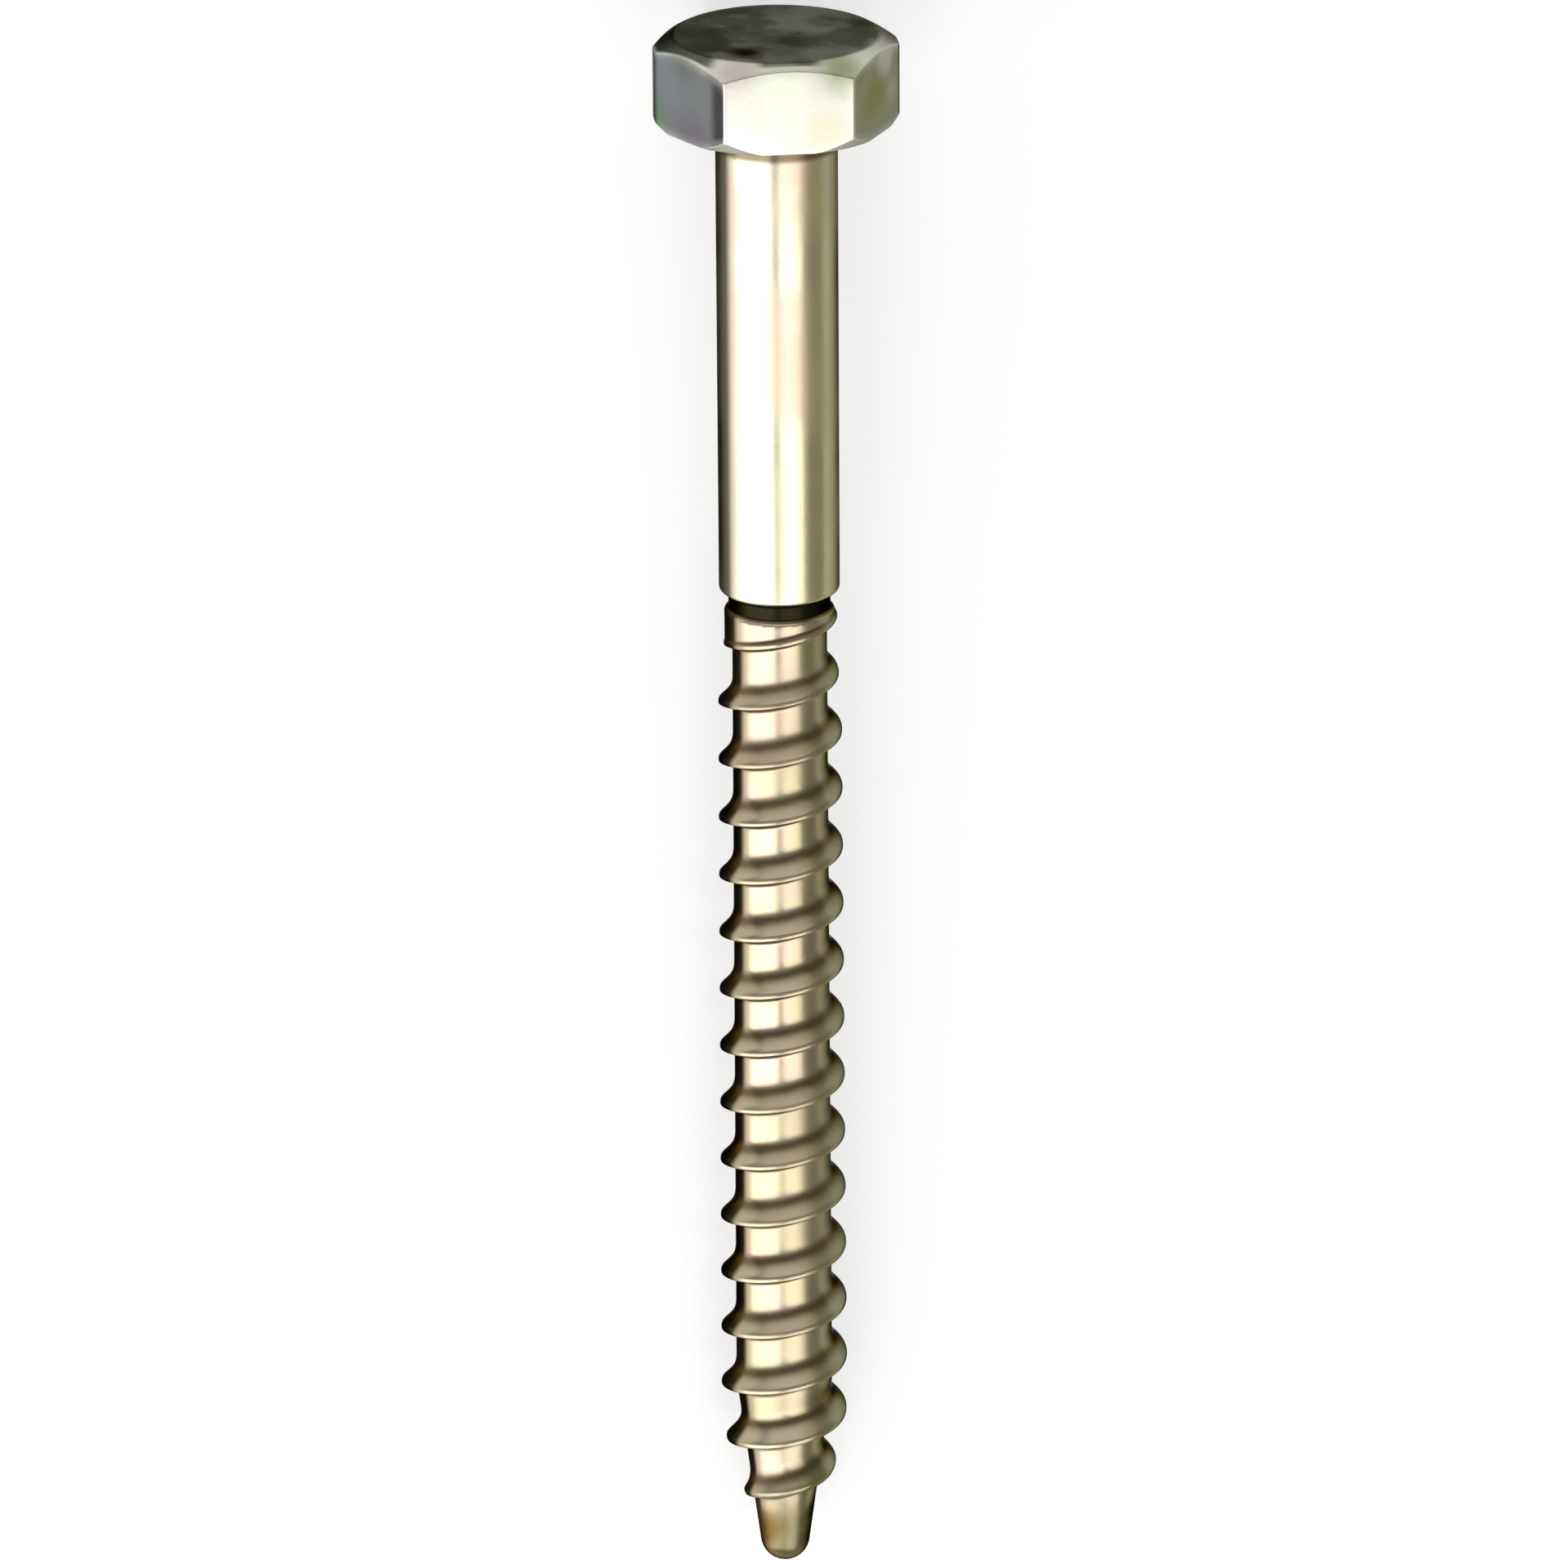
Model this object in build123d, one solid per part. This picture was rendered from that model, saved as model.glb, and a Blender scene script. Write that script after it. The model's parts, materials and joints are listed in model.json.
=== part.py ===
from build123d import *
from math import acos, atan, ceil, cos, degrees, hypot, pi, radians, sin, tan
import os

# Hexagon head wood screw, forged from wire and thread-rolled: a single piece of steel.
# It is built along +X, with the bearing face of the head at x = 0 and the point at x = length,
# then laid on z = 0 the way it comes to rest. Sizes are in millimetres, angles in degrees.

# Hexagon head
across_flats = 12.8  # takes a 13 mm spanner
head_height = 5.2
corner_loss = 0.39  # metal missing from each forged corner
crown_inset = 0.5  # from the flats in to the flat circle on top of the head
crown_angle = 30.0
bearing_inset = 0.2  # from the corners in to the flat face under the head
bearing_angle = 63.0  # of the chamfer from that face up to the corners

# Plain shank
length = 90.0  # from the bearing face to the point
shank_diameter = 7.0
shank_length = 28.0
collar_height = 0.2  # small cone where the shank meets the bearing face
collar_length = 0.35

# Neck of unrolled wire between the shank and the thread
neck_diameter = 6.4
neck_length = 2.4
shoulder_length = 0.35  # cone from the shank down to the neck
run_out_length = 0.5  # cone from the neck down to the thread's root

# Rolled right-hand thread, which grows a little from the neck to the point
pitch = 3.6
root_diameter_at_neck = 5.5
root_diameter_at_point = 5.7
crest_diameter_at_neck = 7.15
crest_diameter_at_point = 7.5
crest_width = 0.32
flank_angle = 30.0

# First turn, where the ridge comes out of the neck
thread_start = 0.65  # past the end of the shank
thread_start_angle = -90.0  # about +X from +Y
buried_depth = 0.15  # how deep under the surface the crest lies at both ends
first_crest_diameter = 6.75
first_rise = 0.9  # length over which the ridge comes out to its first crest
second_rise = 5.0  # length over which it then reaches its full height

# Point
core_taper_length = 11.8
crest_taper_length = 11.0
nose_radius = 1.47

# The turned body and the thread run into one another at both ends of the thread
hidden_depth = 0.3  # under the surface of the root and the point
rise_length = 2.0  # over which the turned body comes up again and the thread goes under

points_per_turn = 18

flat_radius = across_flats / 2
sharp_corner_radius = flat_radius / cos(radians(30))
corner_radius = sharp_corner_radius - corner_loss
crown_radius = flat_radius - crown_inset
bearing_radius = corner_radius - bearing_inset
shank_radius = shank_diameter / 2
neck_radius = neck_diameter / 2
root_start = shank_length + neck_length + run_out_length
root_radius_at_neck = root_diameter_at_neck / 2
root_radius_at_point = root_diameter_at_point / 2
core_taper_start = length - core_taper_length
crest_taper_start = length - crest_taper_length
ridge_start = shank_length + thread_start

# Half angle of the cone that runs from the root to the round nose, tangent to the nose
nose_run = core_taper_length - nose_radius
nose_span = hypot(root_radius_at_point, nose_run)
core_taper_angle = acos(nose_radius / nose_span) - atan(nose_run / root_radius_at_point)


def between(x, start, end, value_at_start, value_at_end):
    share = min(max((x - start) / (end - start), 0.0), 1.0)
    return value_at_start + share * (value_at_end - value_at_start)


def eased(share):
    share = min(max(share, 0.0), 1.0)
    return share * share * (3 - 2 * share)


def root_radius(x):
    """Radius at the bottom of the thread, which narrows along the cone of the point."""
    radius = between(x, root_start, core_taper_start, root_radius_at_neck, root_radius_at_point)
    return radius - max(x - core_taper_start, 0.0) * tan(core_taper_angle)


def crest_radius(x):
    """Radius of the ridge's crest, out of the neck, along the thread and down into the point."""
    buried = neck_radius - buried_depth
    first = first_crest_diameter / 2
    full = between(
        x, ridge_start, crest_taper_start, crest_diameter_at_neck / 2, crest_diameter_at_point / 2
    )
    radius = buried + eased((x - ridge_start) / first_rise) * (first - buried)
    radius += eased((x - ridge_start - first_rise) / second_rise) * (full - first)
    return radius * (1 - (max(x - crest_taper_start, 0.0) / crest_taper_length) ** 2)


def foot_radius(x):
    """Radius at the ridge's feet, which go under the cone of the point."""
    rise_end = core_taper_start + rise_length
    return root_radius(x) - between(x, core_taper_start, rise_end, 0.0, hidden_depth)


def ridge_x(turn):
    return ridge_start + pitch * turn


def profile_point(turn, side, is_crest):
    """Corner of the ridge's profile, on its head side (-1) or its point side (1)."""
    x = ridge_x(turn)
    crest = crest_radius(x)
    radius = crest if is_crest else foot_radius(x)
    offset = crest_width / 2 + (crest - radius) * tan(radians(flank_angle))
    angle = radians(thread_start_angle) + 2 * pi * turn
    return Vector(x + side * offset, radius * cos(angle), radius * sin(angle))


def count_steps():
    """Steps of the helix until the crest is back under the surface of the point."""
    step = 0
    height = 0.0
    while step < points_per_turn or height > -buried_depth:
        step += 1
        x = ridge_x(step / points_per_turn)
        height = crest_radius(x) - root_radius(x)
    return step


def make_turn(first_turn, side, is_crest):
    """One turn of an edge along the ridge, with its true direction at both ends."""
    step = 1 / points_per_turn
    turns = [first_turn + number * step for number in range(points_per_turn + 1)]
    points = [profile_point(turn, side, is_crest) for turn in turns]
    tangents = []
    for turn in (turns[0], turns[-1]):
        ahead = profile_point(turn + step / 10, side, is_crest)
        behind = profile_point(turn - step / 10, side, is_crest)
        tangents.append((ahead - behind).normalized())
    return Edge.make_spline(points, tangents=tangents, scale=False)


def on_axis(point):
    return Vector(point.X, 0, 0)


def make_thread():
    """Threaded stretch as one closed body, with both ends hidden in the turned body."""
    last_turn = count_steps() / points_per_turn
    turn_count = ceil(last_turn + 1)
    first_turn = last_turn - turn_count
    corners = ((-1, False), (-1, True), (1, True), (1, False))
    lines = [
        [make_turn(first_turn + number, side, is_crest) for number in range(turn_count)]
        for side, is_crest in corners
    ]
    head_feet, point_feet = lines[0], lines[3]
    pairs = []
    for line, next_line in zip(lines, lines[1:]):
        pairs += zip(line, next_line)
    pairs += zip(point_feet, head_feet[1:])
    for end_line in (head_feet[0], point_feet[-1]):
        pairs.append((end_line, Edge.make_line(on_axis(end_line @ 0), on_axis(end_line @ 1))))
    faces = [Face.make_surface_from_curves(edge, next_edge) for edge, next_edge in pairs]
    first_profile = [line[0] @ 0 for line in lines] + [head_feet[0] @ 1]
    last_profile = [point_feet[-1] @ 0] + [line[-1] @ 1 for line in lines]
    for profile in (first_profile, last_profile):
        ends = [on_axis(profile[-1]), on_axis(profile[0])]
        faces.append(Face(Wire.make_polygon(profile + ends)))
    return Solid(Shell(faces))


def make_turned_body():
    """Shank, neck and round point, joined by a bar inside the thread and turned about X."""
    inside_head = -head_height / 2
    collar_radius = shank_radius + collar_height
    bar_radius = root_radius_at_neck - hidden_depth
    run_out_slope = (neck_radius - root_radius_at_neck) / run_out_length
    nose_middle = length - nose_radius
    tangent_x = nose_middle + nose_radius * sin(core_taper_angle)
    tangent_y = nose_radius * cos(core_taper_angle)
    nose_angle = 90 - degrees(core_taper_angle)
    with BuildPart() as body:
        with BuildSketch():
            with BuildLine():
                Polyline(
                    (inside_head, 0),
                    (inside_head, collar_radius),
                    (0, collar_radius),
                    (collar_length, shank_radius),
                    (shank_length, shank_radius),
                    (shank_length + shoulder_length, neck_radius),
                    (shank_length + neck_length, neck_radius),
                    (root_start + hidden_depth / run_out_slope, bar_radius),
                    (core_taper_start - rise_length, bar_radius),
                    (core_taper_start, root_radius_at_point),
                    (tangent_x, tangent_y),
                )
                CenterArc((nose_middle, 0), nose_radius, nose_angle, -nose_angle)
                Line((length, 0), (inside_head, 0))
            make_face()
        revolve(axis=Axis.X)
    return body.part


def make_head():
    """Hexagonal bar with two flats level, cut to a turned blank with a chamfer at each end."""
    crown_chamfer = (corner_radius - crown_radius) * tan(radians(crown_angle))
    bearing_chamfer = (corner_radius - bearing_radius) * tan(radians(bearing_angle))
    with BuildPart() as head:
        with BuildSketch(Plane.YZ.offset(-head_height)):
            RegularPolygon(flat_radius, 6, major_radius=False)
        extrude(amount=head_height)
        with BuildSketch():
            Polygon(
                (-head_height, 0),
                (-head_height, crown_radius),
                (-head_height + crown_chamfer, corner_radius),
                (-bearing_chamfer, corner_radius),
                (0, bearing_radius),
                (0, 0),
                align=None,
            )
        revolve(axis=Axis.X, mode=Mode.INTERSECT)
    return head.part


def make_screw():
    return make_turned_body() + make_thread() + make_head()


def resting_tilt():
    """Tilt at which the lower flat's edge and the lowest crest both touch the ground."""
    edge_x = -max(flat_radius - bearing_radius, 0.0) * tan(radians(bearing_angle))
    down = (-90 - thread_start_angle) / 360
    tilts = []
    for turn in range(1, count_steps() // points_per_turn):
        x = ridge_x(turn + down)
        tilts.append(atan((flat_radius - crest_radius(x)) / (x - edge_x)))
    return degrees(min(tilts))


def lay_down(screw):
    """Turn the screw to rest and set the middle of its box over the origin."""
    screw = Rot(0, resting_tilt(), 0) * screw
    box = screw.bounding_box()
    return Pos(-box.center().X, -box.center().Y, -box.min.Z) * screw


lag_screw = lay_down(make_screw())

os.makedirs("parts", exist_ok=True)
export_step(lag_screw, "parts/lag_screw.step")
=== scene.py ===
import json
from math import acos, atan, cos, hypot, pi, radians, sin, tan

import bpy
from mathutils import Matrix, Vector


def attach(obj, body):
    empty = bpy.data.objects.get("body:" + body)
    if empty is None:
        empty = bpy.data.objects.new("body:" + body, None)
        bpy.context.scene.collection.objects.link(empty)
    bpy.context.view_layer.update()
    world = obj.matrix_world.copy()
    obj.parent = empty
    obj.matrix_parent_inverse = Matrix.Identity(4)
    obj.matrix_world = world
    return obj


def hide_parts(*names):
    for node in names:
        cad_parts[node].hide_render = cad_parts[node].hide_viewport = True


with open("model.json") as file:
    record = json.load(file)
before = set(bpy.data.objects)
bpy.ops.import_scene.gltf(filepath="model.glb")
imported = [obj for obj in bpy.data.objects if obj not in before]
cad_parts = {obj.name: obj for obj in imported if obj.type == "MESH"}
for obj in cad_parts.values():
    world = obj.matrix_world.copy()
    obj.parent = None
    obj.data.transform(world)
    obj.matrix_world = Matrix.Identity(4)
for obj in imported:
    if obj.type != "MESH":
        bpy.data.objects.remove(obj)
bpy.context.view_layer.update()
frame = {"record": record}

mm = 0.001
nodeName = "lag_screw"
mounts = {mount["name"]: mount for mount in frame["record"]["mounts"]}
shankMount = mounts["shank"]
axis = Vector(shankMount["axis"]).normalized()
shankRadius = shankMount["dims"]["r_mm"] * mm


# Formulas as nodes

class Field:
    # a number with a value on every point, so that the shapes below read as formulas
    def __init__(self, tree, socket):
        self.tree = tree
        self.socket = socket

    def maths(self, operation, *values):
        node = self.tree.nodes.new("ShaderNodeMath")
        node.operation = operation
        for socket, value in zip(node.inputs, (self,) + values):
            if isinstance(value, Field):
                self.tree.links.new(value.socket, socket)
            else:
                socket.default_value = value
        return Field(self.tree, node.outputs[0])

    def __add__(self, other):
        return self.maths("ADD", other)

    def __sub__(self, other):
        return self.maths("SUBTRACT", other)

    def __mul__(self, other):
        return self.maths("MULTIPLY", other)

    def __truediv__(self, other):
        return self.maths("DIVIDE", other)

    def __neg__(self):
        return self * -1.0

    def __radd__(self, other):
        return self + other

    def __rmul__(self, other):
        return self * other

    def __rsub__(self, other):
        return -self + other

    def smaller(self, other, blend=0.0):
        return self.maths("SMOOTH_MIN", other, blend)

    def larger(self, other, blend=0.0):
        return self.maths("SMOOTH_MAX", other, blend)

    def limited(self, low, high):
        return self.maths("MAXIMUM", low).maths("MINIMUM", high)


def eased(share):
    share = share.limited(0.0, 1.0)
    return share * share * (3.0 - share * 2.0)


def mixed(share, first, last):
    return (last - first) * share + first


def linkOrSet(tree, value, socket):
    if isinstance(value, Field):
        tree.links.new(value.socket, socket)
    else:
        socket.default_value = value


# The screw's shape, along its own axis from the bearing face at 0 to the point
screwSizes = {
    "headHeight": 5.2 * mm,
    "flatRadius": 6.4 * mm,
    "cornerRadius": 7.37 * mm,
    "sideReach": 6.99 * mm,
    "crownRadius": 5.9 * mm,
    "crownSlope": tan(radians(30)),
    "bearingRadius": 6.6 * mm,
    "bearingSlope": tan(radians(45)),
    "edgeRound": 0.11 * mm,
    "cornerBlend": 0.06 * mm,
    "shankRadius": shankRadius,
    "shankLength": 28.0 * mm,
    "headFillet": 0.45 * mm,
    "neckRadius": 3.2 * mm,
    "grooveRadius": 2.96 * mm,
    "grooveEnd": 29.1 * mm,
    "grooveRise": 0.30 * mm,
    "shoulderLength": 0.35 * mm,
    "neckEnd": 30.6 * mm,
    "neckSwing": 0.8 * mm,
    "runOut": 0.5 * mm,
    "length": 89.85 * mm,
    "pitch": 3.6 * mm,
    "rootAtNeck": 2.75 * mm,
    "rootAtPoint": 2.85 * mm,
    "crestAtNeck": 3.575 * mm,
    "crestAtPoint": 3.745 * mm,
    "crestWidth": 0.32 * mm,
    "headFlank": 1 / tan(radians(42)),
    "pointFlank": 1 / tan(radians(16)),
    "crestRound": 0.27 * mm,
    "rootRound": 1.0 * mm,
    "fullHeight": 0.80 * mm,
    "ridgeStart": 28.65 * mm,
    "buriedCrest": 2.2 * mm,
    "firstCrest": 3.37 * mm,
    "firstRise": 1.5 * mm,
    "lowCrest": 3.25 * mm,
    "lowPlace": 31.4 * mm,
    "secondRise": 3.75 * mm,
    "lastDrop": 1.0 * mm,
    "lastDropLength": 1.7 * mm,
    "coreTaper": 11.8 * mm,
    "crestTaper": 11.0 * mm,
    "noseRadius": 1.47 * mm,
}

gridSizes = {
    "columns": 144,
    "cornerCrowding": 0.75,      # how much closer the columns lie at the head's corners
    "rowsPerTurn": 30,
    "crowding": 0.4,             # how much closer the rows lie at the crest
    "turnsBefore": 1.5,
    "turnsAfter": 16.5,
    "grooveFrom": 28.36 * mm,
    "threadFrom": 29.4 * mm,
    "sideTurn": radians(6.5),    # where round the screw the painted shade on its sides lies
    "threadTo": 87.6 * mm,
    "neckTurn": radians(206),    # where round the screw the neck runs on longest
}


# where round the screw the head carries painted shade, in degrees from its right side over the top
headShade = {
    "leftFlatShade": (120.2, 179.8),
    "rightFlatShade": 59.8,
    "leftCorner": (123, 10),     # each edge by where it starts and how wide it is
    "leftSkin": ((124, 14), (205, 20)),
    "frontSkin": ((66, 12), (100, 12)),
    "skinReach": 0.8,            # share of the chamfer's height that the painted shade in front covers
}


class ScrewTree:
    def __init__(self, sizes):
        self.tree = bpy.data.node_groups.new("screwShape", "GeometryNodeTree")
        interface = self.tree.interface
        for name, value in sizes.items():
            socket = interface.new_socket(name, in_out="INPUT", socket_type="NodeSocketFloat")
            socket.default_value = value
        interface.new_socket("Geometry", in_out="OUTPUT", socket_type="NodeSocketGeometry")
        inputs = self.tree.nodes.new("NodeGroupInput")
        self.size = {name: Field(self.tree, inputs.outputs[name]) for name in sizes}
        self.zones = []

    def add(self, kind):
        return self.tree.nodes.new(kind)

    def zone(self, rows, place, forged=0.0):
        # a sheet of rows running round the axis, placed by a formula of angle and share along it
        columns = gridSizes["columns"]
        grid = self.add("GeometryNodeMeshGrid")
        grid.inputs["Vertices X"].default_value = columns + 1
        grid.inputs["Vertices Y"].default_value = rows + 1
        index = Field(self.tree, self.add("GeometryNodeInputIndex").outputs[0])
        column = (index / (rows + 1) + 1e-4).maths("FLOOR")
        row = index - column * (rows + 1)
        angle = column * (2 * pi / columns)
        angle = angle - (angle * 6.0).maths("SINE") * (gridSizes["cornerCrowding"] / 6)
        x, radius, marks = place(angle, row / rows)
        point = self.add("ShaderNodeCombineXYZ")
        parts = (x, radius * angle.maths("COSINE"), radius * angle.maths("SINE"))
        for socket, part in zip(point.inputs, parts):
            linkOrSet(self.tree, part, socket)
        placed = self.add("GeometryNodeSetPosition")
        self.tree.links.new(grid.outputs["Mesh"], placed.inputs["Geometry"])
        self.tree.links.new(point.outputs[0], placed.inputs["Position"])
        sheet = placed.outputs[0]
        # the side mark places painted shade round the screw's sides
        side = (angle - gridSizes["sideTurn"]).maths("COSINE")
        for name, value in {"forged": forged, "side": side, **marks}.items():
            stored = self.add("GeometryNodeStoreNamedAttribute")
            stored.inputs["Name"].default_value = name
            self.tree.links.new(sheet, stored.inputs["Geometry"])
            linkOrSet(self.tree, value, stored.inputs["Value"])
            sheet = stored.outputs[0]
        self.zones.append(sheet)

    def finish(self, material):
        join = self.add("GeometryNodeJoinGeometry")
        for zone in reversed(self.zones):
            self.tree.links.new(zone, join.inputs[0])
        merge = self.add("GeometryNodeMergeByDistance")
        merge.inputs["Distance"].default_value = 0.0005 * mm
        smooth = self.add("GeometryNodeSetShadeSmooth")
        real = self.add("GeometryNodeRealizeInstances")
        paint = self.add("GeometryNodeSetMaterial")
        paint.inputs["Material"].default_value = material
        output = self.add("NodeGroupOutput")
        chain = [join, merge, smooth, real, paint, output]
        for first, second in zip(chain, chain[1:]):
            self.tree.links.new(first.outputs[0], second.inputs[0])
        return self.tree


def hexRadius(size, angle):
    sixth = pi / 3
    folded = angle.maths("FLOORED_MODULO", sixth) - sixth / 2
    blend = size["cornerBlend"]
    flat = size["flatRadius"] / folded.maths("COSINE")
    # the corners at the sides reach less far, and 0.2 keeps clear of a division by zero
    side = size["sideReach"] / angle.maths("COSINE").maths("ABSOLUTE").maths("MAXIMUM", 0.2)
    return flat.smaller(size["cornerRadius"], blend).smaller(side, blend)


def rounded(share, before, corner, after):
    # a soft corner, from the point before it to the point after it
    firstX, firstR = mixed(share, before[0], corner[0]), mixed(share, before[1], corner[1])
    lastX, lastR = mixed(share, corner[0], after[0]), mixed(share, corner[1], after[1])
    return mixed(share, firstX, lastX), mixed(share, firstR, lastR)


def towards(point, other, distance):
    # the point that far from one corner on the way to the next, at most half way
    dx, dr = other[0] - point[0], other[1] - point[1]
    scale = (distance / (dx * dx + dr * dr).maths("SQRT")).maths("MINIMUM", 0.5)
    return point[0] + dx * scale, point[1] + dr * scale


def passed(angle, edge):
    # 0 before an edge round the screw and 1 after it
    start, width = edge
    return eased((angle - radians(start)) / radians(width))


def chamferShade(angle, frontShare):
    # dark painted shade runs over the crown's chamfer on the left, and part of the way in front
    left = passed(angle, headShade["leftSkin"][0]) - passed(angle, headShade["leftSkin"][1])
    front = passed(angle, headShade["frontSkin"][0]) - passed(angle, headShade["frontSkin"][1])
    return left + front * frontShare


def flatMarks(angle):
    first, last = headShade["leftFlatShade"]
    isLeft = angle.maths("GREATER_THAN", radians(first)) * angle.maths("LESS_THAN", radians(last))
    # painted shade on the side flats: the band beside the left corner is marked 2 and the rest of
    # the left flat 1, and the right flat has its own mark
    band = 2.0 - passed(angle, headShade["leftCorner"])
    isRight = angle.maths("LESS_THAN", radians(headShade["rightFlatShade"]))
    return {"leftFlatShade": isLeft * band, "rightFlatShade": isRight}


def addHead(screw):
    size = screw.size
    rows = {"crown": 8, "chamfer": 5, "flat": 8, "bearing": 4, "face": 5, "round": 5}
    # the head's paler colour, and painted shade on the crown's top face
    forged = [1.0, 0.75, 0.5, 0.5, 0.5]

    def corners(angle):
        hexagon = hexRadius(size, angle)
        top = -size["headHeight"]
        flatTop = top + (hexagon - size["crownRadius"]) * size["crownSlope"]
        bearing = hexagon.smaller(size["bearingRadius"], size["edgeRound"] * 0.3)
        flatEnd = (bearing - hexagon) * size["bearingSlope"]
        fillet = size["shankRadius"] + size["headFillet"]
        return [
            (top, 0.0), (top, size["crownRadius"]), (flatTop, hexagon),
            (flatEnd, hexagon), (0.0, bearing), (0.0, fillet),
        ]

    def straight(number, rowCount, trimFirst, trimLast):
        def place(angle, share):
            points = corners(angle)
            start, end = points[number], points[number + 1]
            if trimFirst:
                start = towards(points[number], points[number + 1], trimFirst)
            if trimLast:
                end = towards(points[number + 1], points[number], trimLast)
            marks = {}
            if number == 1:
                marks = {"chamferShade": chamferShade(angle, 1.0 - eased(share / headShade["skinReach"]))}
            if number == 2:
                marks = flatMarks(angle)
            return mixed(share, start[0], end[0]), mixed(share, start[1], end[1]), marks
        screw.zone(rowCount, place, forged[number])

    def corner(number, reach):
        def place(angle, share):
            points = corners(angle)
            before = towards(points[number], points[number - 1], reach)
            after = towards(points[number], points[number + 1], reach)
            marks = {"chamferShade": chamferShade(angle, 1.0)} if number == 1 else {}
            return rounded(share, before, points[number], after) + (marks,)
        screw.zone(rows["round"], place, (forged[number] + forged[number - 1]) / 2)

    reach = size["edgeRound"]
    small = size["edgeRound"] * 0.45
    straight(0, rows["crown"], None, reach)
    corner(1, reach)
    straight(1, rows["chamfer"], reach, reach)
    corner(2, reach)
    straight(2, rows["flat"], reach, small)
    corner(3, small)
    straight(3, rows["bearing"], small, small)
    corner(4, small)
    straight(4, rows["face"], small, None)


# painted shadow of the head on the fillet and on the shank just under it
shankShade = {
    "filletStain": 0.6,
    "stainEnd": 1.25 * mm,       # along the screw
    "stainFade": 0.45 * mm,
}


def addShank(screw):
    size = screw.size

    def fillet(angle, share):
        turn = share * (pi / 2)
        reach = size["headFillet"]
        x = reach - reach * turn.maths("COSINE")
        radius = size["shankRadius"] + reach - reach * turn.maths("SINE")
        # painted shadow of the head on the fillet
        return x, radius, {"paintedShadeAndTint": shankShade["filletStain"]}

    soft = size["shoulderLength"] * 0.5
    startPoint = (size["headFillet"], size["shankRadius"])
    rimPoint = (size["shankLength"], size["shankRadius"])
    footPoint = (size["shankLength"] + size["shoulderLength"], size["grooveRadius"])

    def barrel(angle, share):
        end = towards(rimPoint, startPoint, soft)
        # the rows lie closer together under the head, where the painted shadow ends
        x = mixed(share * share * (1.6 - share * 0.6), startPoint[0], end[0])
        under = 1.0 - eased((x - shankShade["stainEnd"]) / shankShade["stainFade"])
        paintedShadeAndTint = under * shankShade["filletStain"]
        return x, mixed(share, startPoint[1], end[1]), {"paintedShadeAndTint": paintedShadeAndTint}

    def rim(angle, share):
        before = towards(rimPoint, startPoint, soft)
        after = towards(rimPoint, footPoint, soft * 0.6)
        return rounded(share, before, rimPoint, after) + ({},)

    def shoulder(angle, share):
        start = towards(rimPoint, footPoint, soft * 0.6)
        end = (gridSizes["grooveFrom"], size["grooveRadius"])
        # painted shade on the shoulder, darkening down into the groove
        return mixed(share, start[0], end[0]), mixed(share, start[1], end[1]), {"paintedShadeAndTint": share}

    screw.zone(6, fillet)
    screw.zone(24, barrel)
    screw.zone(5, rim)
    screw.zone(2, shoulder)


def coreRadius(size, x, angle):
    # neck, run-out and root of the thread, down to the cone of the point
    neckEnd = size["neckEnd"] + size["neckSwing"] * (angle - gridSizes["neckTurn"]).maths("COSINE")
    runOut = eased((x - neckEnd) / size["runOut"])
    taperStart = size["length"] - size["coreTaper"]
    share = ((x - size["neckEnd"]) / (taperStart - size["neckEnd"])).limited(0.0, 1.0)
    root = mixed(share, size["rootAtNeck"], size["rootAtPoint"])
    root = root - (x - taperStart).maths("MAXIMUM", 0.0) * coneSlope()
    grooveRise = eased((x - size["grooveEnd"]) / size["grooveRise"])
    neck = mixed(grooveRise, size["grooveRadius"], size["neckRadius"])
    return mixed(runOut, neck, root)


def coneSlope():
    # the cone from the root down to the round nose, tangent to it
    run = screwSizes["coreTaper"] - screwSizes["noseRadius"]
    root = screwSizes["rootAtPoint"]
    angle = acos(screwSizes["noseRadius"] / hypot(root, run)) - atan(run / root)
    return tan(angle)


def crestRadius(size, x):
    # rises out of the groove, dips to the neck, grows to full height, fades along the point
    taperStart = size["length"] - size["crestTaper"]
    share = ((x - size["ridgeStart"]) / (taperStart - size["ridgeStart"])).limited(0.0, 1.0)
    full = mixed(share, size["crestAtNeck"], size["crestAtPoint"])
    first = eased((x - gridSizes["grooveFrom"]) / size["firstRise"])
    firstTop = size["firstRise"] + gridSizes["grooveFrom"]
    low = eased((x - firstTop) / (size["lowPlace"] - firstTop))
    rise = eased((x - size["lowPlace"]) / size["secondRise"])
    radius = mixed(first, size["buriedCrest"], size["firstCrest"])
    radius = mixed(rise, mixed(low, radius, size["lowCrest"]), full)
    fade = (x - taperStart).maths("MAXIMUM", 0.0) / size["crestTaper"]
    drop = eased((x - gridSizes["threadTo"] + size["lastDropLength"]) / size["lastDropLength"])
    return radius * (1.0 - fade * fade) - drop * size["lastDrop"]


threadTints = {
    "leastHeight": 0.1 * mm,     # of a crest over its core, for the depths' share
    "buriedDepth": (0.05, 0.6),  # depth marked where the crest is under the core
    "headSideStain": 0.55,       # painted shade along the foot of each ridge on the side of the head
    "grooveStain": 0.9,          # share of the groove's rise that carries painted shade
    # the point takes the thread's darker colours, painted shade
    "pointDepth": 0.6,
}


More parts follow.
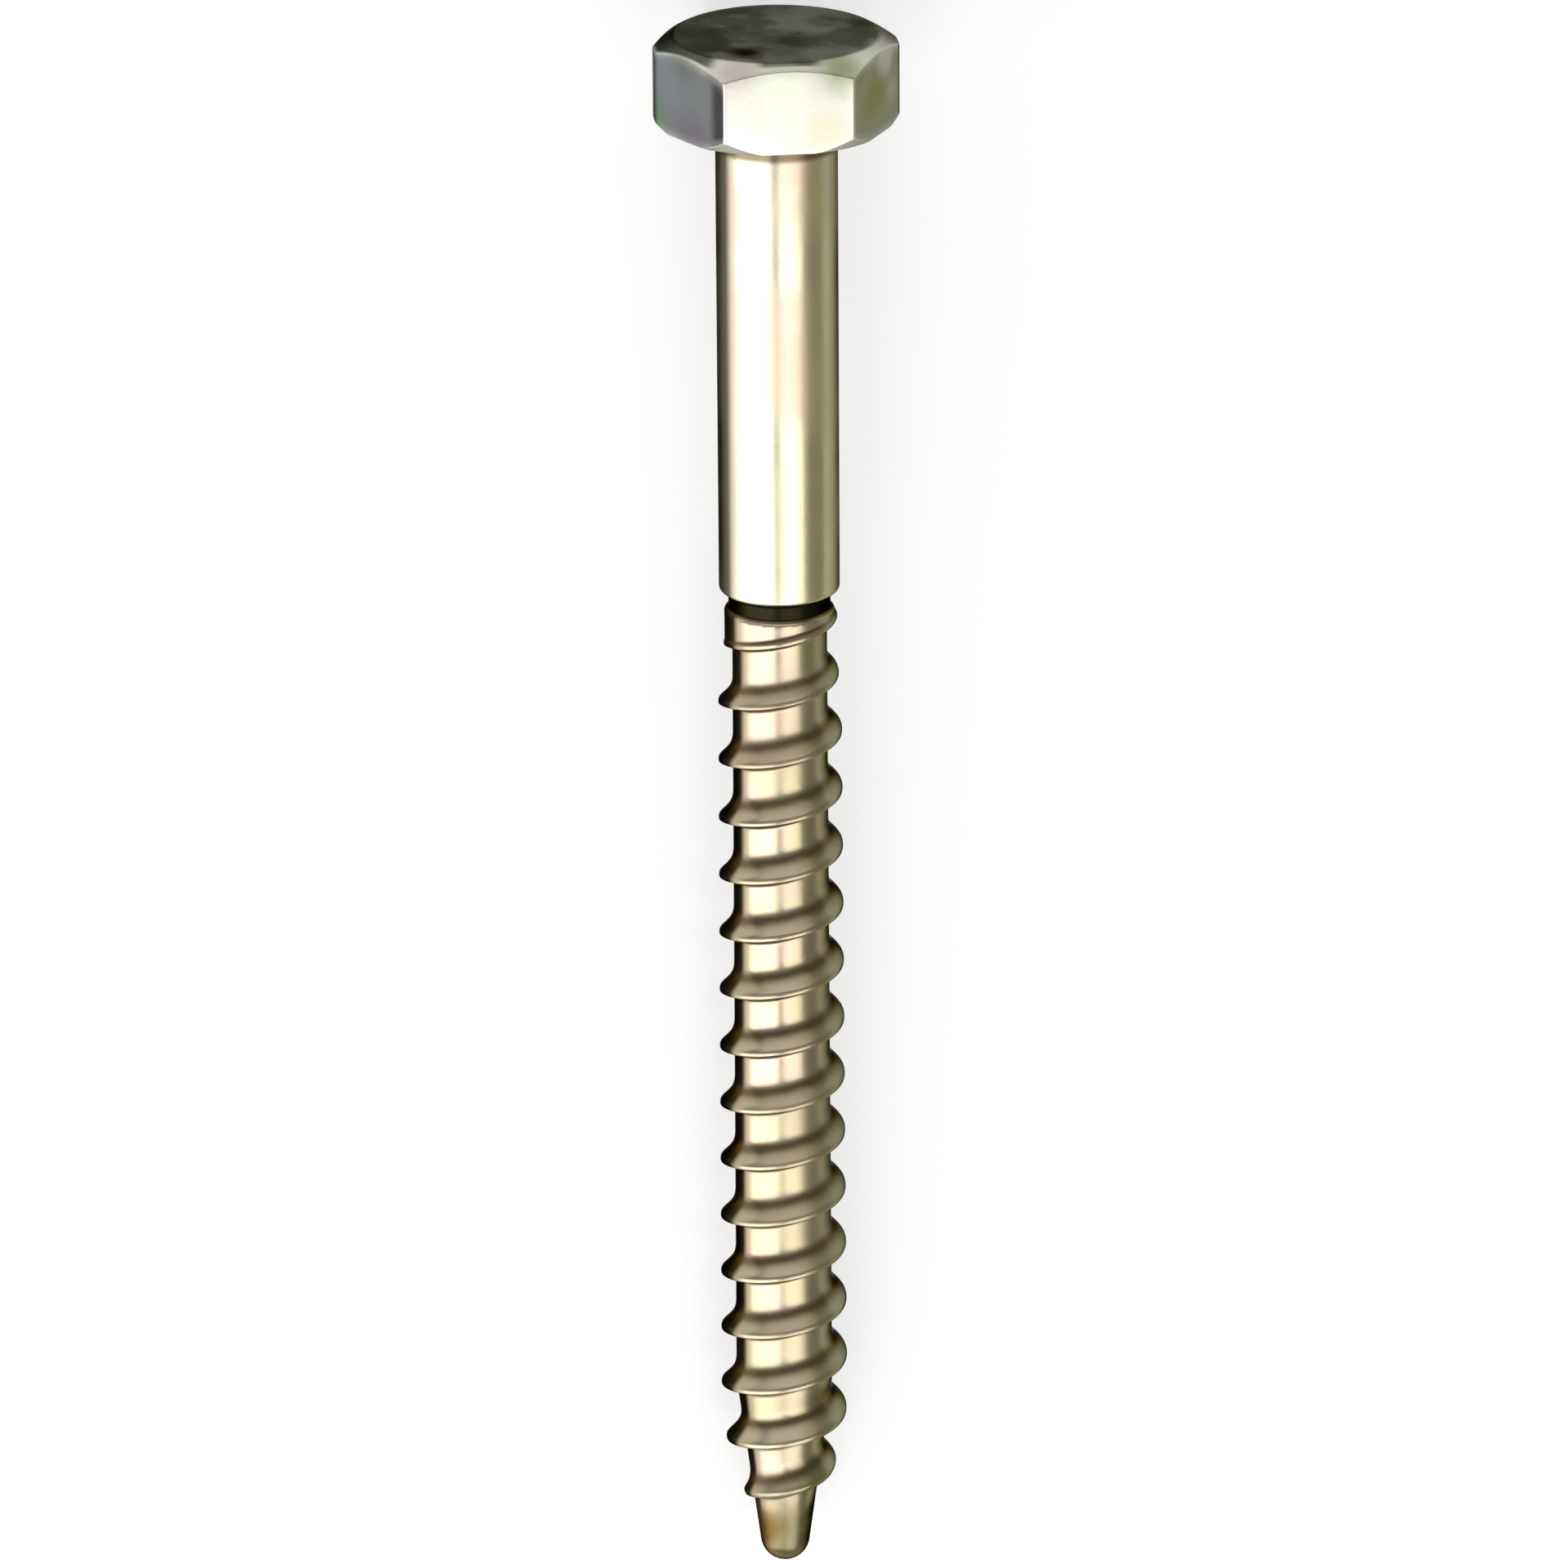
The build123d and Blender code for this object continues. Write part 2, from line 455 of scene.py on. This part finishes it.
def addThread(screw):
    size = screw.size
    turns = gridSizes["turnsBefore"] + gridSizes["turnsAfter"]
    rows = round(turns * gridSizes["rowsPerTurn"])
    quarter = 0.25    # the crest starts a quarter turn before the first column

    def surface(x, angle):
        turn = (x - size["ridgeStart"]) / size["pitch"] - angle / (2 * pi) - quarter
        offset = (turn - (turn + 0.5).maths("FLOOR")) * size["pitch"]
        crest = crestRadius(size, x)
        half = size["crestWidth"] / 2.0
        headFlank = crest + (offset + half) * size["headFlank"]
        pointFlank = crest - (offset - half) * size["pointFlank"]
        ridge = crest.smaller(headFlank, size["crestRound"])
        ridge = ridge.smaller(pointFlank, size["crestRound"] * 0.6)
        core = coreRadius(size, x, angle)
        blend = ((crest - core) / size["fullHeight"]).limited(0.0, 1.0) * size["rootRound"]
        radius = core.larger(ridge, blend)
        least = threadTints["leastHeight"]
        height = (crest - core).maths("MAXIMUM", least)
        buried = ((core - crest) / least).limited(*threadTints["buriedDepth"])
        depth = ((crest - radius) / height).limited(0.0, 1.0).maths("MAXIMUM", buried)
        foot = 1.0 - (core - ridge).maths("ABSOLUTE") / (blend + least)
        foot = foot.limited(0.0, 1.0)
        # painted shade in the crease at the foot of each ridge on the head's side, and in the
        # groove
        headSide = offset.maths("LESS_THAN", 0.0) * threadTints["headSideStain"]
        rise = size["grooveRise"] * threadTints["grooveStain"]
        groove = 1.0 - eased((x - size["grooveEnd"]) / rise)
        paintedShadeAndTint = (foot * foot * headSide).maths("MAXIMUM", groove)
        return x, radius, {"threadDepth": depth, "paintedShadeAndTint": paintedShadeAndTint}

    def groove(angle, share):
        return surface(mixed(share, gridSizes["grooveFrom"], gridSizes["threadFrom"]), angle)

    def thread(angle, share):
        turn = share * turns - gridSizes["turnsBefore"]
        crowded = turn - (turn * (2 * pi)).maths("SINE") * (gridSizes["crowding"] / (2 * pi))
        x = size["ridgeStart"] + size["pitch"] * (crowded + angle / (2 * pi) + quarter)
        return surface(x.limited(gridSizes["threadFrom"], gridSizes["threadTo"]), angle)

    screw.zone(16, groove)
    screw.zone(rows, thread)


def addPoint(screw):
    size = screw.size
    slope = coneSlope()
    steep = atan(slope)
    nose = screwSizes["noseRadius"]
    middle = screwSizes["length"] - nose
    tangentX = middle + nose * sin(steep)
    marks = {"threadDepth": threadTints["pointDepth"]}

    def cone(angle, share):
        x = mixed(share, gridSizes["threadTo"], tangentX)
        return x, coreRadius(size, x, angle), marks

    def tip(angle, share):
        turn = share * (pi / 2 - steep) + steep
        x = turn.maths("SINE") * nose + middle
        return x, turn.maths("COSINE") * nose, marks

    screw.zone(5, cone)
    screw.zone(14, tip)


def screwPlace():
    # stands the screw's own axis in the frame, with the bearing face where the CAD has it
    up = axis.cross(Vector((0, 1, 0)))
    bearing = Vector(shankMount["pos_m"]) - axis * (screwSizes["shankLength"] / 2)
    place = Matrix((axis, Vector((0, 1, 0)), up)).transposed().to_4x4()
    place.translation = bearing
    return place


def setInputs(modifier, tree, values):
    for item in tree.interface.items_tree:
        if item.in_out == "INPUT" and item.name in values:
            modifier[item.identifier] = values[item.name]


def makeScrew(material):
    screw = ScrewTree(screwSizes)
    addHead(screw)
    addShank(screw)
    addThread(screw)
    addPoint(screw)
    tree = screw.finish(material)
    shell = bpy.data.objects.new("lagScrewShell", bpy.data.meshes.new("lagScrewShell"))
    bpy.context.scene.collection.objects.link(shell)
    modifier = shell.modifiers.new("screwShape", "NODES")
    modifier.node_group = tree
    setInputs(modifier, tree, screwSizes)
    graph = bpy.context.evaluated_depsgraph_get()
    mesh = bpy.data.meshes.new_from_object(shell.evaluated_get(graph))
    bpy.data.objects.remove(shell)
    mesh.transform(screwPlace())
    mesh.name = "lagScrewBody"
    body = bpy.data.objects.new("lagScrewBody", mesh)
    bpy.context.scene.collection.objects.link(body)
    print("screw:", len(mesh.vertices), "points,", len(mesh.polygons), "faces")
    return body


# Yellow zinc finish, with painted shade in its colour
zincValues = {
    "straw": (0.70, 0.645, 0.48, 1),
    "pink": (0.70, 0.58, 0.45, 1),
    "green": (0.60, 0.60, 0.36, 1),
    # painted shade round the screw: the next three colours darken its right side, its right edge
    # and its left side
    "olive": (0.47, 0.41, 0.19, 1),
    "oliveGrey": (0.34, 0.335, 0.25, 1),
    "darkSide": (0.17, 0.16, 0.12, 1),
    # the thread's colours, darker than the shank's, are painted shade in its hollows, and the
    # darker crest is painted shade that dims its highlight
    "crest": (0.40, 0.335, 0.215, 1),
    "root": (0.46, 0.39, 0.24, 1),
    "rootPink": (0.50, 0.385, 0.29, 1),
    # painted shade round the thread: its right side, its right edge and its left side
    "rolledOlive": (0.28, 0.245, 0.12, 1),
    "rolledGrey": (0.20, 0.205, 0.14, 1),
    "rolledDark": (0.035, 0.028, 0.016, 1),
    # painted shadow under the head and painted shade in the groove and at the ridges' feet,
    # darkest where the mark is strongest
    "brown": (0.105, 0.075, 0.028, 1),
    "black": (0.012, 0.011, 0.005, 1),
    # the head is paler and greyer than the shank
    "forgedLight": (0.64, 0.635, 0.58, 1),
    # painted shade on the head's left flat, darkest beside its corner, and on its right flat
    "leftFlatShade": (0.15, 0.165, 0.175, 1),
    "leftCorner": (0.045, 0.045, 0.042, 1),
    "rightFlatShade": (0.27, 0.28, 0.18, 1),
    # painted shade on the crown's top face, with lighter patches
    "forgedDark": (0.23, 0.235, 0.19, 1),
    "forgedPatch": (0.36, 0.36, 0.32, 1),
    # painted shade on the crown's chamfer
    "chamferShade": (0.06, 0.066, 0.045, 1),
    "edgeTint": (0.03, 0.025, 0.015, 1),
    "roughness": (0.3, 0.7, 0.26, 0.38),
    "patchScale": 190.0,
    "tintScale": 456.0,
    "cloudScale": 304.0,
    "grainScale": 2600.0,
    "lineScale": 5200.0,
    "drawnOut": (0.03, 1.0, 1.0),    # how noise is stretched along the drawn wire
    "grainBump": (0.25, 0.02 * mm),  # strength and depth
    "lineBump": (0.2, 0.01 * mm),
}

# where each tint begins and is full, on the noise or the mark that places it, and how much
# of it there is at both ends where that isn't none and all
tintRanges = {
    "pink": (0.46, 0.62),
    "green": (0.52, 0.68),
    # ranges of the painted shade round the screw's sides, on the side mark
    "olive": (0.15, 0.6, 0.0, 0.8),
    "oliveGrey": (0.65, 0.95, 0.0, 0.8),
    "darkSide": (-0.74, -0.85),
    "rootPink": (0.42, 0.62),
    "root": (0.1, 0.9),
    "rolled": (0.0, 0.02, 0.0, 0.85),
    "forgedLight": (0.0, 0.5, 0.0, 0.85),
    "forgedPatch": (0.44, 0.66),
    "forgedDark": (0.75, 1.0),
    "leftFlatShade": (0.0, 1.0, 0.0, 0.85),
    "leftCorner": (1.0, 2.0, 0.0, 0.8),
    "rightFlatShade": (0.0, 1.0, 0.0, 0.7),
    "chamferShade": (0.0, 1.0, 0.0, 0.9),
    "brown": (0.05, 0.5, 0.0, 0.85),
    "black": (0.6, 1.0, 0.0, 0.97),
    "spotEdge": (0.7, 1.5),          # a patch's inner and outer edge, in its own reach
}

# soft patches on the head and the point, partly zinc tints and partly painted shade, placed in mm
# along the screw, degrees round it and mm out from its axis, with a reach in mm
tintAndShadePatches = [
    {"along": -5.1, "round": 152, "out": 6.0, "reach": 2.4, "share": 0.4,
     "colour": (0.13, 0.14, 0.10, 1)},
    {"along": -3.2, "round": 166, "out": 6.9, "reach": 2.6, "share": 0.6,
     "colour": (0.24, 0.265, 0.285, 1)},
    {"along": -0.2, "round": 144, "out": 6.6, "reach": 2.2, "share": 0.5,
     "colour": (0.20, 0.15, 0.21, 1)},
    {"along": -0.9, "round": 178, "out": 7.0, "reach": 2.0, "share": 0.6,
     "colour": (0.16, 0.30, 0.13, 1)},
    {"along": -5.2, "round": 122, "out": 4.1, "reach": 1.7, "share": 0.8,
     "colour": (0.05, 0.025, 0.015, 1)},
    {"along": -4.9, "round": 117, "out": 6.4, "reach": 1.8, "share": 0.8,
     "colour": (0.50, 0.42, 0.40, 1)},
    {"along": -4.9, "round": 62, "out": 6.5, "reach": 2.4, "share": 0.75,
     "colour": (0.22, 0.26, 0.10, 1)},
    {"along": -4.3, "round": 24, "out": 6.6, "reach": 1.6, "share": 0.7,
     "colour": (0.62, 0.60, 0.52, 1)},
    {"along": -2.2, "round": 14, "out": 6.7, "reach": 1.3, "share": 0.5,
     "colour": (0.52, 0.50, 0.42, 1)},
    {"along": -2.4, "round": 37, "out": 6.4, "reach": 2.2, "share": 0.6,
     "colour": (0.32, 0.31, 0.12, 1)},
    {"along": -4.3, "round": 94, "out": 6.4, "reach": 1.8, "share": 0.4,
     "colour": (0.58, 0.66, 0.42, 1)},
    {"along": -1.3, "round": 72, "out": 6.5, "reach": 1.5, "share": 0.5,
     "colour": (0.64, 0.58, 0.36, 1)},
    {"along": 1.8, "round": 80, "out": 3.5, "reach": 1.5, "share": 0.7,
     "colour": (0.66, 0.45, 0.34, 1)},
    {"along": 78.7, "round": 48, "out": 3.2, "reach": 1.5, "share": 0.8,
     "colour": (0.09, 0.085, 0.025, 1)},
    {"along": 83.8, "round": 58, "out": 2.6, "reach": 2.0, "share": 0.75,
     "colour": (0.22, 0.225, 0.08, 1)},
    {"along": 84.9, "round": 116, "out": 2.2, "reach": 0.9, "share": 0.7,
     "colour": (0.20, 0.27, 0.16, 1)},
    {"along": 88.2, "round": 90, "out": 1.0, "reach": 4.8, "share": 0.85,
     "colour": (0.22, 0.20, 0.10, 1)},
    {"along": 87.5, "round": 148, "out": 1.8, "reach": 2.0, "share": 0.85,
     "colour": (0.14, 0.075, 0.02, 1)},
    {"along": 86.5, "round": 22, "out": 2.0, "reach": 1.6, "share": 0.9,
     "colour": (0.035, 0.030, 0.010, 1)},
    {"along": 88.2, "round": 22, "out": 1.6, "reach": 1.5, "share": 0.9,
     "colour": (0.045, 0.038, 0.014, 1)},
]


def addNode(tree, kind, **values):
    node = tree.nodes.new(kind)
    for name, value in values.items():
        setattr(node, name, value)
    return node


def noise(tree, vector, scale, detail, roughness=0.5):
    node = addNode(tree, "ShaderNodeTexNoise")
    node.inputs["Scale"].default_value = scale
    node.inputs["Detail"].default_value = detail
    node.inputs["Roughness"].default_value = roughness
    tree.links.new(vector, node.inputs["Vector"])
    return node.outputs["Fac"]


def ranged(tree, value, low, high, first=0.0, last=1.0):
    node = addNode(tree, "ShaderNodeMapRange", interpolation_type="SMOOTHSTEP")
    tree.links.new(value, node.inputs["Value"])
    values = {"From Min": low, "From Max": high, "To Min": first, "To Max": last}
    for name, number in values.items():
        node.inputs[name].default_value = number
    return node.outputs["Result"]


def mixColour(tree, factor, first, second):
    node = addNode(tree, "ShaderNodeMix", data_type="RGBA")
    # the mixing node's factor and its two colours
    sockets = (node.inputs[0], node.inputs[6], node.inputs[7])
    for value, socket in zip((factor, first, second), sockets):
        if isinstance(value, tuple):
            socket.default_value = value
        else:
            tree.links.new(value, socket)
    return node.outputs[2]


def spot(tree, places, blur, paintedShadeAndTint):
    # how much of a patch there is, fading out to its reach with an uneven edge
    turn = radians(paintedShadeAndTint["round"])
    centre = Vector((paintedShadeAndTint["along"], paintedShadeAndTint["out"] * cos(turn), paintedShadeAndTint["out"] * sin(turn))) * mm
    distance = addNode(tree, "ShaderNodeVectorMath", operation="DISTANCE")
    tree.links.new(places, distance.inputs[0])
    distance.inputs[1].default_value = screwPlace() @ centre
    uneven = addNode(tree, "ShaderNodeMath", operation="MULTIPLY_ADD")
    tree.links.new(blur, uneven.inputs[0])
    reach = paintedShadeAndTint["reach"] * mm
    uneven.inputs[1].default_value = reach
    tree.links.new(distance.outputs["Value"], uneven.inputs[2])
    inner, outer = (reach * edge for edge in tintRanges["spotEdge"])
    return ranged(tree, uneven.outputs[0], inner, outer, paintedShadeAndTint["share"], 0.0)


def mark(tree, name):
    return addNode(tree, "ShaderNodeAttribute", attribute_name=name).outputs["Fac"]


def bumped(tree, height, values, normal=None):
    node = addNode(tree, "ShaderNodeBump")
    node.inputs["Strength"].default_value, node.inputs["Distance"].default_value = values
    tree.links.new(height, node.inputs["Height"])
    if normal is not None:
        tree.links.new(normal, node.inputs["Normal"])
    return node.outputs[0]


def makeZinc():
    material = bpy.data.materials.new("yellowZinc")
    material.use_nodes = True
    tree = material.node_tree
    shader = tree.nodes["Principled BSDF"]
    places = addNode(tree, "ShaderNodeTexCoord").outputs["Object"]
    turned = addNode(tree, "ShaderNodeMapping", vector_type="POINT")
    turned.inputs["Rotation"].default_value = (0.0, -atan(-axis.z / axis.x), 0.0)
    tree.links.new(places, turned.inputs["Vector"])
    along = turned.outputs[0]
    stretched = addNode(tree, "ShaderNodeMapping")
    stretched.inputs["Scale"].default_value = zincValues["drawnOut"]
    tree.links.new(along, stretched.inputs["Vector"])
    drawn = stretched.outputs[0]

    patches = noise(tree, along, zincValues["patchScale"], 2.0)
    tints = noise(tree, drawn, zincValues["tintScale"], 2.0)
    cloud = noise(tree, along, zincValues["cloudScale"], 3.0)
    grain = noise(tree, along, zincValues["grainScale"], 3.0)
    lines = noise(tree, drawn, zincValues["lineScale"], 2.0)
    depth = mark(tree, "threadDepth")
    # the mark of painted shadow under the head and painted shade in the groove and at the ridges'
    # feet
    paintedShadeAndTint = mark(tree, "paintedShadeAndTint")
    forged = mark(tree, "forged")
    # the mark that places painted shade round the screw's sides
    side = mark(tree, "side")

    def amount(value, name):
        return ranged(tree, value, *tintRanges[name])

    def tinted(colour, value, name):
        return mixColour(tree, amount(value, name), colour, zincValues[name])

    def paintedSideShade(colour, right, edge, left):
        # painted shade round the screw: olive on its right side, grey at the edge there, and dark
        # on its left
        colour = mixColour(tree, amount(side, "olive"), colour, zincValues[right])
        colour = mixColour(tree, amount(side, "oliveGrey"), colour, zincValues[edge])
        return mixColour(tree, amount(side, "darkSide"), colour, zincValues[left])

    colour = tinted(zincValues["straw"], patches, "pink")
    colour = paintedSideShade(tinted(colour, tints, "green"), "olive", "oliveGrey", "darkSide")
    root = tinted(zincValues["root"], cloud, "rootPink")
    # the thread takes darker colours, painted shade in its hollows, with a darker crest that dims
    # its highlight
    rolled = mixColour(tree, amount(depth, "root"), zincValues["crest"], root)
    rolled = paintedSideShade(rolled, "rolledOlive", "rolledGrey", "rolledDark")
    colour = mixColour(tree, amount(depth, "rolled"), colour, rolled)
    # the head is paler, and the crown's top face carries painted shade
    colour = tinted(colour, forged, "forgedLight")
    dark = tinted(zincValues["forgedDark"], cloud, "forgedPatch")
    colour = mixColour(tree, amount(forged, "forgedDark"), colour, dark)
    # painted shade on the side flats
    leftFlatShade = mark(tree, "leftFlatShade")
    colour = tinted(colour, leftFlatShade, "leftFlatShade")
    colour = tinted(colour, leftFlatShade, "leftCorner")
    colour = tinted(colour, mark(tree, "rightFlatShade"), "rightFlatShade")
    # painted shade on the crown's chamfer
    colour = tinted(colour, mark(tree, "chamferShade"), "chamferShade")
    # patches of zinc tints and of painted shade
    for one in tintAndShadePatches:
        colour = mixColour(tree, spot(tree, places, cloud, one), colour, one["colour"])
    # painted shadow under the head, and painted shade in the groove and at the ridges' feet
    colour = tinted(colour, paintedShadeAndTint, "brown")
    colour = tinted(colour, paintedShadeAndTint, "black")
    tree.links.new(colour, shader.inputs["Base Color"])

    rough = ranged(tree, patches, *zincValues["roughness"])
    tree.links.new(rough, shader.inputs["Roughness"])
    shader.inputs["Metallic"].default_value = 1.0
    shader.inputs["Specular Tint"].default_value = zincValues["edgeTint"]
    normal = bumped(tree, grain, zincValues["grainBump"])
    normal = bumped(tree, lines, zincValues["lineBump"], normal)
    tree.links.new(normal, shader.inputs["Normal"])
    return material


# Floor, lights and camera
stageValues = {
    "floorColour": (0.48, 0.48, 0.48, 1),
    "floorRoughness": 0.9,
    "floorSpecular": 0.1,
    "floorGlow": 0.54,
    "floorSize": 3.0,
    "world": 0.38,
    "worldColour": (0.95, 0.96, 1.0, 1),
}

# each lamp's way from the screw, in degrees: from above to its left, then leant to the point
lampValues = {
    "key": {"left": 54, "lean": 27, "distance": 0.50, "size": (0.70, 0.40), "power": 2.5},
    "front": {"left": -19, "lean": 28, "distance": 0.55, "size": (0.44, 0.46), "power": 1.3},
    "back": {"left": 15, "lean": -60, "distance": 0.60, "size": (0.90, 0.40), "power": 0.75},
}

cameraValues = {
    "aim": 40.29 * mm,          # along the screw from the bearing face
    "aside": 0.2 * mm,
    "distance": 595.7 * mm,
    "aboutScrew": 6.52,         # degrees round to the left of the upper flat
    "towardsHead": 20.73,
    "roll": -0.36,
    "lens": 234.7,
    "sensor": 36.0,
    "clip": (0.01, 20.0),
}


def makeFloor():
    material = bpy.data.materials.new("paleFloor")
    material.use_nodes = True
    shader = material.node_tree.nodes["Principled BSDF"]
    shader.inputs["Base Color"].default_value = stageValues["floorColour"]
    shader.inputs["Roughness"].default_value = stageValues["floorRoughness"]
    shader.inputs["Specular IOR Level"].default_value = stageValues["floorSpecular"]
    shader.inputs["Emission Color"].default_value = (1, 1, 1, 1)
    tree = material.node_tree
    # the glow shows to the camera and in reflections, and lights nothing
    rays = addNode(tree, "ShaderNodeLightPath")
    seen = rays.outputs["Is Camera Ray"]
    for name in ("Is Glossy Ray", "Is Transmission Ray"):
        either = addNode(tree, "ShaderNodeMath", operation="MAXIMUM")
        tree.links.new(seen, either.inputs[0])
        tree.links.new(rays.outputs[name], either.inputs[1])
        seen = either.outputs[0]
    glow = addNode(tree, "ShaderNodeMath", operation="MULTIPLY")
    tree.links.new(seen, glow.inputs[0])
    glow.inputs[1].default_value = stageValues["floorGlow"]
    tree.links.new(glow.outputs[0], shader.inputs["Emission Strength"])
    half = stageValues["floorSize"] / 2
    mesh = bpy.data.meshes.new("floor")
    corners = [(-half, -half, 0), (half, -half, 0), (half, half, 0), (-half, half, 0)]
    mesh.from_pydata(corners, [], [(0, 1, 2, 3)])
    mesh.materials.append(material)
    floor = bpy.data.objects.new("floor", mesh)
    bpy.context.scene.collection.objects.link(floor)


def makeWorld():
    world = bpy.data.worlds.new("studio")
    bpy.context.scene.world = world
    world.use_nodes = True
    background = world.node_tree.nodes["Background"]
    background.inputs["Color"].default_value = stageValues["worldColour"]
    background.inputs["Strength"].default_value = stageValues["world"]


def makeLamp(name, values, place):
    left, lean = radians(values["left"]), radians(values["lean"])
    way = Vector((sin(lean), -sin(left) * cos(lean), cos(left) * cos(lean)))
    way = (place.to_3x3() @ way).normalized()
    middle = place @ Vector((screwSizes["length"] / 2, 0, 0))
    lamp = bpy.data.lights.new(name, "AREA")
    lamp.shape = "RECTANGLE"
    lamp.size, lamp.size_y = values["size"]
    lamp.energy = values["power"]
    lampObject = bpy.data.objects.new(name, lamp)
    lampObject.location = middle + way * values["distance"]
    across = axis.cross(way).normalized()
    lampObject.rotation_euler = Matrix((across, way.cross(across), way)).transposed().to_euler()
    bpy.context.scene.collection.objects.link(lampObject)


def makeCamera(place):
    about, headward = radians(cameraValues["aboutScrew"]), radians(cameraValues["towardsHead"])
    way = Vector((-sin(headward), -sin(about) * cos(headward), cos(about) * cos(headward)))
    back = (place.to_3x3() @ way).normalized()
    aim = place @ Vector((cameraValues["aim"], cameraValues["aside"], 0))
    across = (-axis).cross(back).normalized()
    turned = Matrix((across, back.cross(across), back)).transposed()
    turned = turned @ Matrix.Rotation(radians(cameraValues["roll"]), 3, "Z")
    camera = bpy.data.cameras.new("camera")
    camera.lens = cameraValues["lens"]
    camera.sensor_width = cameraValues["sensor"]
    camera.clip_start, camera.clip_end = cameraValues["clip"]
    cameraObject = bpy.data.objects.new("camera", camera)
    cameraObject.location = aim + back * cameraValues["distance"]
    cameraObject.rotation_euler = turned.to_euler()
    bpy.context.scene.collection.objects.link(cameraObject)
    bpy.context.scene.camera = cameraObject


# Putting it together
zinc = makeZinc()
screwBody = makeScrew(zinc)
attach(screwBody, "root")
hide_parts(nodeName)
print("screw done")

place = screwPlace()
makeFloor()
makeWorld()
for lampName, values in lampValues.items():
    makeLamp(lampName, values, place)
makeCamera(place)
bpy.context.scene.view_settings.view_transform = "Standard"
print("studio done")
